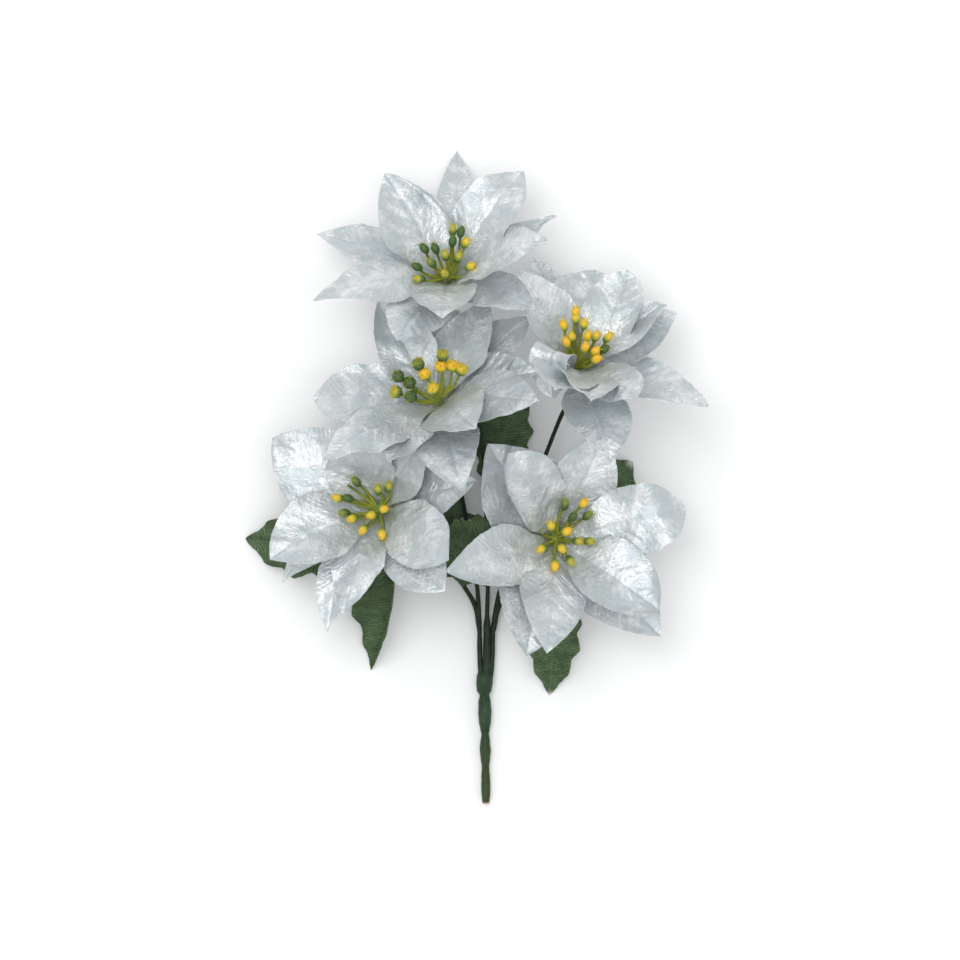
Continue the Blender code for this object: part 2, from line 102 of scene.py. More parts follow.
# A petal's width from root to tip, as shares of its length and of its full width
PETAL_WIDEST_AT = 0.48
PETAL_ROOT_WIDTH = 0.14
EDGE_FROM = 0.6
CURL_OVER = 0.2
TIP_CROWDING = 1.35
ROLLED_AT = 0.3

# A leaf's stalk, width and teeth
LEAF_STALK = 0.2
LEAF_STALK_WIDTH = 0.08
LEAF_WIDEST_AT = 0.42
LEAF_TEETH = 4
LEAF_TOP_TOOTH = 0.55
TOOTH_DEPTH = 0.22
TOOTH_TIP = 0.62
THREAD_SPACING = 1.5

# The photograph's camera: straight down, from a height, with the scale of the picture at the blooms' height
PHOTO_PIXELS = 960
PIXEL_SIZE = 0.5453
PICTURE_HEIGHT = 45.0
CAMERA_PLACE = (2.454, -1.636, 2500.0)
SENSOR = 36.0


class Blade(NamedTuple):
    """A petal or a leaf, with its tip measured from its bloom's centre or its sprig's ring.

    arch is how steeply the root stands over the straight line to the tip, and droop how steeply the tip
    falls below it. bend bows the midrib to the right, seen from its root. cup and fold raise the edges, as
    shares of the half width. roll turns the blade about its midrib. point is low for a sharp tip and high
    for a blunt one. left and right turn up the outer part of an edge, and curl turns up the tip from
    curl_at, a share of the length. frayed is how much of a leaf's tip is worn pale, in millimetres.
    """

    tip: tuple
    width: float
    arch: float = 15.0
    droop: float = 15.0
    bend: float = 0.0
    cup: float = 0.15
    fold: float = 0.0
    roll: float = 0.0
    point: float = 1.8
    left: float = 0.0
    right: float = 0.0
    curl: float = 0.0
    curl_at: float = 0.62
    frayed: float = 0.0


class Bloom(NamedTuple):
    """A bloom that faces lean degrees off straight up, toward a heading counted from +X to +Y.

    A berry is its place beside the centre, as the camera sees it, and its ripeness. bumpy blooms have round
    berries like mulberries, and the others have smooth egg-shaped ones.
    """

    centre: tuple
    lean: float
    heading: float
    bumpy: bool
    front: tuple
    back: tuple
    berries: tuple


class Branch(NamedTuple):
    """A branch's route up to its bloom's neck, and how many of its first points a thicker sleeve covers."""

    route: tuple
    sleeve: int = 0


class Sprig(NamedTuple):
    """Leaves on one ring, round a branch at a point of its route, or under its bloom if knot is None."""

    branch: str
    knot: int
    leaves: tuple


class Kind(NamedTuple):
    """What all petals have in common, or all leaves: where their rows of points lie, from 0 at the root to 1,
    their outline, their relief, how many faces they have across, and their material and its slot.
    """

    places: tuple
    share_at: object
    relief: object
    columns: int
    paint: object
    slot: str


BLOOMS = {
    "top": Bloom(
        centre=(-14.9, 107.4, 36),
        lean=42,
        heading=97,
        bumpy=False,
        front=(
            Blade(tip=(-35, 59, -3), width=46, cup=0.1, right=150),
            Blade(tip=(41, 60, 2), width=37, cup=0.2, point=3.4),
            Blade(tip=(53, 21, 38), width=35, cup=0.1),
            Blade(tip=(-73, -12, 28), width=34, arch=28, droop=28, cup=-0.1, point=1.4),
            Blade(tip=(-3, -22, 62), width=36, cup=0.1, point=2.4),
        ),
        back=(
            Blade(tip=(4.5, 73.5, -35.6), width=24, bend=6),
            Blade(tip=(59, 36, 8), width=24, fold=-0.2, point=1.2),
            Blade(tip=(-72, 26, -10), width=34, arch=15, droop=15),
            Blade(tip=(-27, -34, 50), width=37, cup=0, point=2.2),
            Blade(tip=(47, -17, 46), width=31),
        ),
        berries=(
            (-13, 17, GREEN), (-7, 17, GREEN), (-17, 7, GREEN), (-15.5, 0.5, AMBER), (-9, 9, OLIVE),
            (-1.5, 13, AMBER), (2.5, 27, AMBER), (2.5, 21, GREEN), (7, 26, GREEN), (9.5, 20, YELLOW),
            (5.5, 12, AMBER), (12, 7, YELLOW), (-1.5, 2.5, AMBER),
        ),
    ),
    "middle": Bloom(
        centre=(-19.8, 40.0, 48),
        lean=42,
        heading=115,
        bumpy=True,
        front=(
            Blade(tip=(-34, 56, -10), width=33, fold=0.15),
            Blade(tip=(28, 57, -4), width=36, cup=0.1),
            Blade(tip=(54, 0, 50), width=40, arch=22, cup=0.0),
            Blade(tip=(20, -14, 62), width=37, cup=0.1, point=2.2),
            Blade(tip=(-62, -30, 38), width=36, cup=-0.1),
        ),
        back=(
            Blade(tip=(-69, 3, -8), width=43, arch=20, point=3.4),
            Blade(tip=(10, 52, -19), width=38),
            Blade(tip=(51, 47, 1), width=40, arch=8),
            Blade(tip=(53, 17, 24), width=40),
            Blade(tip=(13, -47, 56), width=36),
            Blade(tip=(-27, -32, 38), width=30),
        ),
        berries=(
            (-22, 14.5, GREEN), (-16, 11, GREEN), (-23, 6, AMBER), (-15, 3.5, GREEN), (-11, 21, OLIVE),
            (-7.5, 15.5, ORANGE), (2, 25.5, AMBER), (1, 19.5, ORANGE), (7, 20, ORANGE), (12, 18, YELLOW),
            (-3, 7.5, YELLOW),
        ),
    ),
    "right": Bloom(
        centre=(55.3, 59.2, 46),
        lean=48,
        heading=76,
        bumpy=False,
        front=(
            Blade(tip=(28, 54, -6), width=31, bend=13, cup=0.25, point=4.4),
            Blade(tip=(49, 36, -2), width=30, fold=0.15),
            Blade(tip=(30, -17, 51), width=27, cup=0.0, roll=22, point=5.0),
            Blade(tip=(6, -19, 62), width=36, roll=-8, cup=0.3, point=2.8),
            Blade(tip=(-28, 14, 52), width=23, cup=0.1, roll=25, point=5.0, curl=-120, curl_at=0.45),
            Blade(tip=(-33, 54, 6), width=36, bend=-6, cup=0.25),
        ),
        back=(
            Blade(tip=(10, 55, -22), width=46, arch=20, point=3.6),
            Blade(tip=(-24, 63, -25), width=28),
            Blade(tip=(55, 31, -10), width=40),
            Blade(tip=(71, -21, 24), width=36),
            Blade(tip=(17, -51, 52), width=38, point=2.2),
            Blade(tip=(-13, -13, 60), width=40, point=2.6),
        ),
        berries=(
            (-1, 30, ORANGE), (-1, 26.5, YELLOW), (-7.5, 23, ORANGE), (3.5, 23.5, YELLOW),
            (-3, 16.5, YELLOW), (-6, 13.5, ORANGE), (5.5, 17, ORANGE), (10, 17, YELLOW),
            (16.5, 16.5, YELLOW), (4, 11, ORANGE), (9.5, 9, ORANGE), (14.5, 10, GREEN), (10, 4.5, ORANGE),
        ),
    ),
    "left": Bloom(
        centre=(-51.9, -18.5, 34),
        lean=28,
        heading=153,
        bumpy=False,
        front=(
            Blade(tip=(-60, -26, 18), width=42, bend=8, point=2.6),
            Blade(tip=(-20, -56, 30), width=32, fold=-0.2, point=1.6),
            Blade(tip=(37, -26, 48), width=36, bend=-6, cup=0.1, point=3.6),
            Blade(tip=(28, 45, 28), width=36, cup=0.2),
            Blade(tip=(-18, 39, 14), width=40, arch=6, point=3.2),
        ),
        back=(
            Blade(tip=(-60, 40, -5), width=49, arch=22, point=2.2),
            Blade(tip=(52, 17, 38), width=34),
            Blade(tip=(35, -43, 42), width=36, point=3.0),
            Blade(tip=(-29, -66, 14), width=28, bend=15),
            Blade(tip=(-54, -39, -2), width=22, arch=20, bend=18),
            Blade(tip=(4, 62, -8), width=34),
        ),
        berries=(
            (-13, 16, OLIVE), (-1, 11.5, AMBER), (4.5, 13, AMBER), (-23, 7, YELLOW), (-17.5, 7, GREEN),
            (-19.5, -1, OLIVE), (-15, -4, YELLOW), (-9, -10, YELLOW), (1, -12.5, ORANGE),
            (-4.5, -2, YELLOW), (2, 1, YELLOW), (-17.5, 14, BARE),
        ),
    ),
    "lower": Bloom(
        centre=(43.6, -34.0, 34),
        lean=16,
        heading=27,
        bumpy=False,
        front=(
            Blade(tip=(-26, 47, 38), width=37, cup=0.2, point=4.0, left=100),
            Blade(tip=(75, 19, 18), width=39, arch=6, bend=3, cup=0.1, point=3.2, curl=-50, curl_at=0.68),
            Blade(tip=(56, -38, 24), width=40, cup=0.3, point=3.2),
            Blade(tip=(-5, -61, 38), width=38, cup=0.0),
            Blade(tip=(-60, -17, 40), width=35, bend=-4, cup=0.2),
        ),
        back=(
            Blade(tip=(-37, 52, 22), width=52, bend=-6),
            Blade(tip=(28, 60, 16), width=38),
            Blade(tip=(58, -53, 8), width=42),
            Blade(tip=(-16, -63, 28), width=48, bend=8),
            Blade(tip=(54, 2, 0), width=30),
            Blade(tip=(-50, -18, 24), width=32),
        ),
        berries=(
            (5, 19, OLIVE), (15, 19.5, ORANGE), (9.3, 12.2, GREEN), (17.5, 13, OLIVE), (-2.4, 7.3, YELLOW),
            (6, 4.4, ORANGE), (12, -0.9, AMBER), (18, -1, AMBER), (3.2, -4.7, YELLOW), (-7.7, -4.9, YELLOW),
            (8, -11.5, AMBER), (-0.3, -14, ORANGE), (-7, 4, BARE),
        ),
    ),
}

BRANCHES = {
    "middle": Branch(
        route=(
            (3.4, -116, 4.8), (2.4, -99.5, 5.2), (2.1, -81.3, 5.6), (0.9, -61, 6.6),
            (-2.5, -39.8, 9.5), (-6, -19.1, 14), (-10.4, 3.8, 20),
        ),
    ),
    "top": Branch(
        route=(
            (5.6, -116, 5.2), (6.3, -95, 6.2), (6.4, -76, 6.8), (6.8, -57, 7.5), (6.0, -23.4, 9),
            (5.6, -1.6, 10), (1.7, 28.9, 10), (-5, 55, 9), (-10.5, 76, 8.5),
        ),
        sleeve=2,
    ),
    "right": Branch(
        route=(
            (7.8, -116, 4.8), (9.2, -99.5, 5.2), (10, -81.3, 5.6), (13.4, -62.7, 6.8),
            (21.5, -38, 9), (30, -12, 12), (38, 10.4, 16), (46, 31, 22.5),
        ),
    ),
    "left": Branch(
        route=((2.3, -85, 5.6), (0, -72, 5.7), (-6.4, -60.5, 6), (-16, -46, 7), (-29, -33, 8.5)),
    ),
    "lower": Branch(
        route=((9.8, -85, 5.6), (13, -71.5, 5.7), (19.8, -63, 6), (29, -52, 6.5)),
    ),
}

SPRIGS = {
    "left": Sprig(
        branch="left",
        knot=None,
        leaves=(
            Blade(tip=(-83, -12, -18.6), width=44, bend=-18),
            Blade(tip=(-14, -85, -18.4), width=48, bend=-15, fold=0.7, roll=46, point=0.9),
            Blade(tip=(-25, 46, -12), width=34),
        ),
    ),
    "middle": Sprig(
        branch="top",
        knot=4,
        leaves=(
            Blade(tip=(19, 78, -3), width=34, arch=0, bend=-8, fold=-0.2, roll=-10),
            Blade(tip=(-46, 13, -6), width=38, arch=-8, cup=0.0),
        ),
    ),
    "lower": Sprig(
        branch="lower",
        knot=None,
        leaves=(
            Blade(tip=(48, 45, -17.2), width=42, frayed=6.5),
            Blade(tip=(1.5, -85.5, -17.2), width=34, bend=-6, frayed=4.0),
            Blade(tip=(-72, -8, 4), width=42),
        ),
    ),
}

TRUNK_END = (5.8, -181.0, 2.4)
TRUNK_HEAD = (4.8, -108.0, 5.0)
TRUNK_OUTLINE = (
    (0, 1.8), (1.5, 2.1), (7, 2.6), (13, 2.4), (20.4, 2.1), (25, 2.6), (29.5, 3.05), (34, 2.7), (38.5, 2.1),
    (41, 2.6), (46, 3.4), (51.6, 3.75), (56, 3.4), (60.3, 2.7), (62.8, 4.2), (67, 4.6), (71, 4.3), (73, 3.4),
)
TRUNK_RINGS = 120
TRUNK_SIDES = 28


def smooth(low, high, value):
    """Rise from 0 to 1, evenly at both ends, as value goes from low to high."""
    share = min(max((value - low) / (high - low), 0.0), 1.0)
    return share * share * (3 - 2 * share)


def bloom_axis(bloom):
    lean = math.radians(bloom.lean)
    heading = math.radians(bloom.heading)
    return Vector((math.sin(lean) * math.cos(heading), math.sin(lean) * math.sin(heading), math.cos(lean)))


# Materials

def node(tree, kind, **inputs):
    """Add a node, and set or link its inputs, given by name or by place."""
    made = tree.nodes.new(kind)
    for key, value in inputs.items():
        socket = made.inputs[int(key[1:])] if key[1:].isdigit() else made.inputs[key.replace("_", " ")]
        if isinstance(value, bpy.types.NodeSocket):
            tree.links.new(value, socket)
        else:
            socket.default_value = value
    return made


def sums(tree, operation, first, second=0.0):
    made = node(tree, "ShaderNodeMath", i0=first, i1=second)
    made.operation = operation
    return made.outputs[0]


def ramp(tree, value, low, high, to_low=0.0, to_high=1.0):
    """Bring a value from one range to another, evenly at both ends."""
    made = tree.nodes.new("ShaderNodeMapRange")
    made.interpolation_type = "SMOOTHSTEP"
    tree.links.new(value, made.inputs["Value"])
    for name, number in (("From Min", low), ("From Max", high), ("To Min", to_low), ("To Max", to_high)):
        made.inputs[name].default_value = number
    return made.outputs[0]


def vector(tree, x, y, z=0.0):
    return node(tree, "ShaderNodeCombineXYZ", X=x, Y=y, Z=z).outputs[0]


def cloudy(tree, place, scale, detail=2.0, roughness=0.5):
    return node(tree, "ShaderNodeTexNoise", Vector=place, Scale=scale, Detail=detail, Roughness=roughness).outputs["Fac"]


def mixed(tree, share, first, second):
    made = tree.nodes.new("ShaderNodeMix")
    made.data_type = "RGBA"
    for at, value in ((0, share), (6, first), (7, second)):
        if isinstance(value, bpy.types.NodeSocket):
            tree.links.new(value, made.inputs[at])
        else:
            made.inputs[at].default_value = value
    return made.outputs[2]


def colour(red, green, blue):
    return (red, green, blue, 1.0)


def new_material(name):
    paint = bpy.data.materials.new(name)
    paint.use_nodes = True
    tree = paint.node_tree
    return paint, tree, tree.nodes["Principled BSDF"]


def attribute(tree, name):
    made = tree.nodes.new("ShaderNodeAttribute")
    made.attribute_name = name
    return made.outputs["Fac"]


def bump(tree, shader, height, depth, strength=1.0):
    """Raise the surface by depth millimetres where height is 1."""
    made = node(tree, "ShaderNodeBump", Strength=strength, Distance=depth * MM, Height=height)
    tree.links.new(made.outputs[0], shader.inputs["Normal"])


def blade_places(tree):
    """Across and along a blade in millimetres, and a number that differs from blade to blade."""
    chart = tree.nodes.new("ShaderNodeUVMap")
    chart.uv_map = "blade"
    parts = node(tree, "ShaderNodeSeparateXYZ", Vector=chart.outputs[0])
    across = sums(tree, "MULTIPLY", sums(tree, "SUBTRACT", parts.outputs[0], 0.5), 100.0)
    along = sums(tree, "MULTIPLY", parts.outputs[1], 100.0)
    return across, along, attribute(tree, "blade_number")


def petal_material():
    """Satin cloth pressed with slanted veins and crushed between them, with painted highlights on the ridges and in
    broad sheen patches, and a painted shade line along the midrib.
    """
    paint, tree, shader = new_material("silver_cloth")
    across, along, number = blade_places(tree)
    flat = vector(tree, across, along, number)
    turned = vector(tree, along, number, across)
    wander = sums(tree, "MULTIPLY", cloudy(tree, flat, 0.09), 4.0)
    side = sums(tree, "MULTIPLY", sums(tree, "ABSOLUTE", across), 0.9)
    slant = sums(tree, "ADD", sums(tree, "SUBTRACT", along, side), wander)
    lie = vector(tree, sums(tree, "MULTIPLY", slant, 0.34), sums(tree, "MULTIPLY", across, 0.07), number)
    streaks = ramp(tree, cloudy(tree, lie, 1.0, 3.0, 0.6), 0.46, 0.66)
    pleats = ramp(tree, sums(tree, "SINE", sums(tree, "MULTIPLY", slant, 2 * math.pi / 3.4)), 0.1, 1.0)
    # broad patches that are glossier and are also painted lighter in the colour, as a painted sheen
    glossy_painted_sheen = ramp(tree, cloudy(tree, flat, 0.07, 3.0, 0.55), 0.41, 0.63)
    pressed = ramp(tree, cloudy(tree, turned, 0.09, 1.0, 0.5), 0.57, 0.66)
    crush = ramp(tree, cloudy(tree, flat, 0.42, 4.0, 0.6), 0.34, 0.68)
    grain = cloudy(tree, flat, 2.6, 2.0, 0.5)
    ridges = sums(tree, "MAXIMUM", sums(tree, "MULTIPLY", streaks, glossy_painted_sheen), sums(tree, "MULTIPLY", pleats, pressed))
    height = sums(tree, "ADD", sums(tree, "MULTIPLY", ridges, 0.42), sums(tree, "MULTIPLY", crush, 0.4))
    height = sums(tree, "ADD", height, sums(tree, "MULTIPLY", grain, 0.12))
    # painted highlight: the colour turns from the cloth's grey-blue to near white on the ridges, the sheen patches
    # and the crushed spots; the same mask also lowers the roughness there
    painted_highlight_and_gloss = sums(tree, "ADD", sums(tree, "MULTIPLY", ridges, 0.36), sums(tree, "MULTIPLY", glossy_painted_sheen, 0.40))
    painted_highlight_and_gloss = sums(tree, "ADD", painted_highlight_and_gloss, sums(tree, "MULTIPLY", crush, 0.24))
    cloth = mixed(tree, ramp(tree, painted_highlight_and_gloss, 0.0, 1.0), colour(0.525, 0.578, 0.592), colour(0.82, 0.83, 0.848))
    # painted shade: a darker grey line along the midrib's crease
    painted_crease_shade = ramp(tree, sums(tree, "ABSOLUTE", across), 0.10, 0.50, 0.16, 0.0)
    cloth = mixed(tree, painted_crease_shade, cloth, colour(0.36, 0.41, 0.42))
    near_root = ramp(tree, along, 3.0, 15.0, 1.0, 0.0)
    near_root = sums(tree, "MULTIPLY", near_root, sums(tree, "ADD", sums(tree, "MULTIPLY", crush, 0.4), 0.35))
    tinted = mixed(tree, near_root, cloth, colour(0.50, 0.56, 0.36))
    tree.links.new(tinted, shader.inputs["Base Color"])
    shader.inputs["Metallic"].default_value = 0.48
    tree.links.new(ramp(tree, painted_highlight_and_gloss, 0.0, 1.0, 0.38, 0.24), shader.inputs["Roughness"])
    shader.inputs["Sheen Weight"].default_value = 0.1
    bump(tree, shader, height, 0.7, 0.62)
    return paint


def leaf_material():
    """Dark green cloth with broken light threads across it, a pale midrib and a frayed pale tip."""
    paint, tree, shader = new_material("green_cloth")
    across, along, number = blade_places(tree)
    flat = vector(tree, across, along, number)
    wander = sums(tree, "MULTIPLY", cloudy(tree, flat, 0.09, 3.0, 0.6), 4.5)
    line = sums(tree, "ADD", sums(tree, "ADD", along, sums(tree, "MULTIPLY", across, 0.28)), wander)
    lie = vector(tree, sums(tree, "MULTIPLY", line, 0.9), sums(tree, "MULTIPLY", across, 0.30), number)
    weave = ramp(tree, cloudy(tree, flat, 2.4, 2.0, 0.6), 0.35, 0.65, 0.45, 1.0)
    rows = ramp(tree, sums(tree, "SINE", sums(tree, "MULTIPLY", line, 2 * math.pi / THREAD_SPACING)), -0.2, 0.95)
    threads = sums(tree, "MULTIPLY", rows, ramp(tree, cloudy(tree, lie, 1.0, 3.0, 0.7), 0.38, 0.62))
    threads = sums(tree, "MULTIPLY", threads, weave)
    patches = cloudy(tree, flat, 0.12, 3.0, 0.6)
    midrib = ramp(tree, sums(tree, "ABSOLUTE", across), 0.2, 0.7, 1.0, 0.0)
    light = sums(tree, "MULTIPLY", threads, ramp(tree, patches, 0.35, 0.60, 0.5, 1.0))
    base = mixed(tree, ramp(tree, patches, 0.3, 0.7), colour(0.036, 0.068, 0.024), colour(0.066, 0.118, 0.044))
    striped = mixed(tree, sums(tree, "MULTIPLY", light, 0.9), base, colour(0.240, 0.325, 0.205))
    lined = mixed(tree, sums(tree, "MULTIPLY", midrib, 0.35), striped, colour(0.12, 0.19, 0.09))
    frayed = sums(tree, "MULTIPLY", attribute(tree, "tip"), ramp(tree, patches, 0.3, 0.6, 0.5, 1.0))
    finished = mixed(tree, frayed, lined, colour(0.62, 0.64, 0.60))
    tree.links.new(finished, shader.inputs["Base Color"])
    shader.inputs["Roughness"].default_value = 0.6
    shader.inputs["Specular IOR Level"].default_value = 0.3
    height = sums(tree, "ADD", sums(tree, "MULTIPLY", threads, 0.8), sums(tree, "MULTIPLY", patches, 0.5))
    bump(tree, shader, height, 0.35, 0.8)
    return paint


def berry_material():
    """Moulded berries from dark green to orange yellow by their ripeness, on olive stalks."""
    paint, tree, shader = new_material("berry_plastic")
    ripe = attribute(tree, "ripe")
    spots = cloudy(tree, tree.nodes.new("ShaderNodeTexCoord").outputs["Object"], 900.0, 3.0, 0.6)
    shade = sums(tree, "ADD", ripe, sums(tree, "MULTIPLY", sums(tree, "SUBTRACT", spots, 0.5), 0.5))
    stops = tree.nodes.new("ShaderNodeValToRGB")
    tree.links.new(shade, stops.inputs[0])
    band = stops.color_ramp
    band.elements[0].color = colour(0.055, 0.110, 0.022)
    band.elements[1].color = colour(0.85, 0.50, 0.02)
    for place, tone in ((0.3, colour(0.12, 0.18, 0.03)), (0.5, colour(0.33, 0.34, 0.03)), (0.75, colour(0.68, 0.50, 0.03))):
        band.elements.new(place).color = tone
    tree.links.new(stops.outputs[0], shader.inputs["Base Color"])
    shader.inputs["Roughness"].default_value = 0.42
    grain = cloudy(tree, tree.nodes.new("ShaderNodeTexCoord").outputs["Object"], 1800.0, 2.0, 0.5)
    bump(tree, shader, grain, 0.12, 0.6)
    return paint


def stem_material():
    """Satin moulded plastic, dark green, lighter and worn on the trunk, with bare metal at the cut end."""
    paint, tree, shader = new_material("stem_plastic")
    place = tree.nodes.new("ShaderNodeTexCoord").outputs["Object"]
    height = node(tree, "ShaderNodeSeparateXYZ", Vector=place).outputs[1]
    patches = cloudy(tree, place, 60.0, 4.0, 0.6)
    grain = cloudy(tree, place, 700.0, 3.0, 0.6)
    low = ramp(tree, height, -0.120, -0.095, 1.0, 0.0)
    lowest = ramp(tree, height, -0.165, -0.135, 1.0, 0.0)
    share = ramp(tree, patches, 0.35, 0.65)
    dark = mixed(tree, share, colour(0.007, 0.014, 0.006), colour(0.019, 0.033, 0.014))
    trunk = mixed(tree, share, colour(0.015, 0.038, 0.016), colour(0.030, 0.066, 0.031))
    foot = mixed(tree, share, colour(0.030, 0.044, 0.013), colour(0.040, 0.066, 0.020))
    green = mixed(tree, low, dark, mixed(tree, lowest, trunk, foot))
    worn = sums(tree, "MULTIPLY", ramp(tree, grain, 0.60, 0.72), 0.35)
    green = mixed(tree, worn, green, colour(0.15, 0.23, 0.14))
    bare = ramp(tree, height, -0.1806, -0.1801, 1.0, 0.0)
    tree.links.new(mixed(tree, bare, green, colour(0.36, 0.20, 0.11)), shader.inputs["Base Color"])
    tree.links.new(ramp(tree, grain, 0.3, 0.7, 0.40, 0.62), shader.inputs["Roughness"])
    shader.inputs["Specular IOR Level"].default_value = 0.25
    bump(tree, shader, sums(tree, "ADD", sums(tree, "MULTIPLY", patches, 1.5), grain), 0.4, 0.7)
    return paint


def floor_material():
    paint, tree, shader = new_material("pale_floor")
    shader.inputs["Base Color"].default_value = colour(0.95, 0.95, 0.95)
    shader.inputs["Roughness"].default_value = 0.8
    shader.inputs["Specular IOR Level"].default_value = 0.2
    return paint


# Meshes

def new_object(name, mesh, paint):
    thing = bpy.data.objects.new(name, mesh)
    bpy.context.scene.collection.objects.link(thing)
    mesh.materials.clear()
    mesh.materials.append(paint)
    return thing


def set_numbers(mesh, name, values):
    """Store one number for each point, for a material to read."""
    layer = mesh.attributes.new(name, "FLOAT", "POINT")
    layer.data.foreach_set("value", values)


def petal_share(t, point):
    """How wide a petal is at a share t of its length, as a share of its full width."""
    if t < PETAL_WIDEST_AT:
        rise = t / PETAL_WIDEST_AT
        return PETAL_ROOT_WIDTH + (1 - PETAL_ROOT_WIDTH) * rise ** 2 * (3 - 2 * rise)
    return max(1 - ((t - PETAL_WIDEST_AT) / (1 - PETAL_WIDEST_AT)) ** point, 0.0)


def leaf_share(t, point):
    """The same for a leaf: a narrow stalk, and then a blade whose edge runs in teeth."""
    if t <= LEAF_STALK:
        return LEAF_STALK_WIDTH
    blade = (t - LEAF_STALK) / (1 - LEAF_STALK)
    if blade < LEAF_WIDEST_AT:
        share = math.sin(math.pi / 2 * (0.25 + 0.75 * blade / LEAF_WIDEST_AT))
    else:
        share = max(1 - ((blade - LEAF_WIDEST_AT) / (1 - LEAF_WIDEST_AT)) ** point, 0.0)
    teeth = blade * (LEAF_TEETH + LEAF_TOP_TOOTH)
    phase = teeth % 1.0
    notch = 1 - phase / TOOTH_TIP if phase < TOOTH_TIP else (phase - TOOTH_TIP) / (1 - TOOTH_TIP)
    if teeth < TOOTH_TIP:
        return LEAF_STALK_WIDTH + (share - LEAF_STALK_WIDTH) * smooth(0, TOOTH_TIP, teeth)
    return share * (1 - TOOTH_DEPTH * notch)


def petal_relief(along, across, half, t, number):
    """How far pressed veins, crumples and slow waves raise a petal's surface, in millimetres."""
    edge = min(abs(across) / max(half, 0.5), 1.0)
    body = smooth(0.05, 0.30, t)
    groove = -0.5 * math.exp(-(across / 0.8) ** 2)
    slant = along - 0.9 * abs(across) + 2.0 * noise.noise(Vector((along / 13, across / 13, number)))
    ridge = (0.5 + 0.5 * math.cos(2 * math.pi * slant / 6.4)) ** 2
    pressed = smooth(-0.1, 0.35, noise.noise(Vector((along / 16, across / 16, number + 21.0))))
    vein = 0.65 * ridge * smooth(0.6, 4.0, abs(across)) * (1 - 0.5 * edge) * pressed
    busy = 0.25 + 0.75 * smooth(-0.25, 0.35, noise.noise(Vector((along / 19, across / 15, number + 31.0))))
    crumple = 0.9 * busy * noise.noise(Vector((slant / 6.5, across / 10, number + 3.0)))
    crush = 0.40 * busy * noise.noise(Vector((along / 3.2, across / 3.2, number + 5.0)))
    waves = 2.4 * noise.noise(Vector((along / 21, across / 17, number + 7.0)))
    rim = 1.8 * edge ** 3 * noise.noise(Vector((along / 9, number + 11.0, across / 30)))
    return body * (groove + vein + crumple + crush + waves + rim)


def leaf_relief(along, across, half, t, number):
    """The same for a leaf: a sunk midrib, slanted veins and a wavy rim."""
    edge = min(abs(across) / max(half, 0.5), 1.0)
    body = smooth(LEAF_STALK - 0.05, LEAF_STALK + 0.1, t)
    groove = -0.5 * math.exp(-(across / 0.9) ** 2)
    slant = along - abs(across)
    vein = 0.4 * (0.5 + 0.5 * math.cos(2 * math.pi * slant / 7.5)) ** 4 * smooth(0.5, 3.0, abs(across))
    waves = 0.9 * noise.noise(Vector((along / 15, across / 15, number)))
    rim = 1.0 * edge ** 3 * noise.noise(Vector((along / 7, number, across / 20)))
    return body * (groove + vein + waves + rim)


def midrib(blade, centre, axis, root_radius, facing, places):
    """The middle line of a blade: at each place its point, its run, and the directions across and out."""
    offset = Vector(blade.tip)
    tip = centre + offset
    root = centre + (offset - axis * offset.dot(axis)).normalized() * root_radius
    chord = tip - root
    length = chord.length
    along = chord.normalized()
    side = facing.cross(along).normalized()
    over = along.cross(side)
    arch, droop = math.radians(blade.arch), math.radians(blade.droop)
    bow = side * math.tan(math.radians(blade.bend))
    lift = root + (along * math.cos(arch) + over * math.sin(arch) - bow) * length / 3
    fall = tip - (along * math.cos(droop) - over * math.sin(droop) + bow) * length / 3
    line = []
    before = None
    bent = root
    for t in places:
        s = 1 - t
        middle = root * s ** 3 + lift * (3 * s * s * t) + fall * (3 * s * t * t) + tip * t ** 3
        run = ((lift - root) * s * s + (fall - lift) * (2 * s * t) + (tip - fall) * t * t).normalized()
        turn = Quaternion(run, math.radians(blade.roll) * min(t / ROLLED_AT, 1.0))
        across = turn @ (side - run * side.dot(run)).normalized()
        curl = Quaternion(across, -math.radians(blade.curl) * smooth(blade.curl_at, blade.curl_at + CURL_OVER, t))
        if before is not None:
            bent = bent + curl @ (middle - before)
        before = middle
        run = curl @ run
        line.append((bent.copy(), run, across, run.cross(across)))
    return line


def section(blade, half, v, strength):
    """Where a point of a cross-section lies, across and out, v being its place from -1 to 1."""
    reach = abs(v)
    inner = min(reach, EDGE_FROM)
    x = half * inner
    y = half * (blade.cup * inner * inner + blade.fold * inner)
    if reach > EDGE_FROM:
        start = math.atan(2 * blade.cup * EDGE_FROM + blade.fold)
        turn = math.atan(2 * blade.cup + blade.fold) - start
        turn += math.radians(blade.left if v > 0 else blade.right) * strength
        turn = turn if abs(turn) > 1e-4 else 1e-4
        strip = half * (1 - EDGE_FROM)
        share = (reach - EDGE_FROM) / (1 - EDGE_FROM)
        x += strip / turn * (math.sin(start + turn * share) - math.sin(start))
        y += strip / turn * (math.cos(start) - math.cos(start + turn * share))
    return math.copysign(x, v), y


def blade_grid(blade, line, kind, number):
    """The points of a blade's surface and their charts, row by row."""
    grid, charts = [], []
    along = 0.0
    for row, (t, (middle, _, across, out)) in enumerate(zip(kind.places, line)):
        if row:
            along += (middle - line[row - 1][0]).length
        ragged = 1 + 0.035 * noise.noise(Vector((along / 2.2, number, 5.0)))
        half = max(blade.width * kind.share_at(t, blade.point) / 2 * ragged, 0.25)
        strength = smooth(0.15, 0.5, t)
        points, marks = [], []
        for column in range(kind.columns + 1):
            v = 2 * column / kind.columns - 1
            x, y = section(blade, half, v, strength)
            spread = half * v
            raised = kind.relief(along, spread, half, t, number)
            point = middle + across * x + out * (y + raised)
            point.z = max(point.z, LOWEST)
            points.append(point)
            marks.append((0.5 + spread / 100, along / 100))
        grid.append(points)
        charts.append(marks)
    return grid, charts


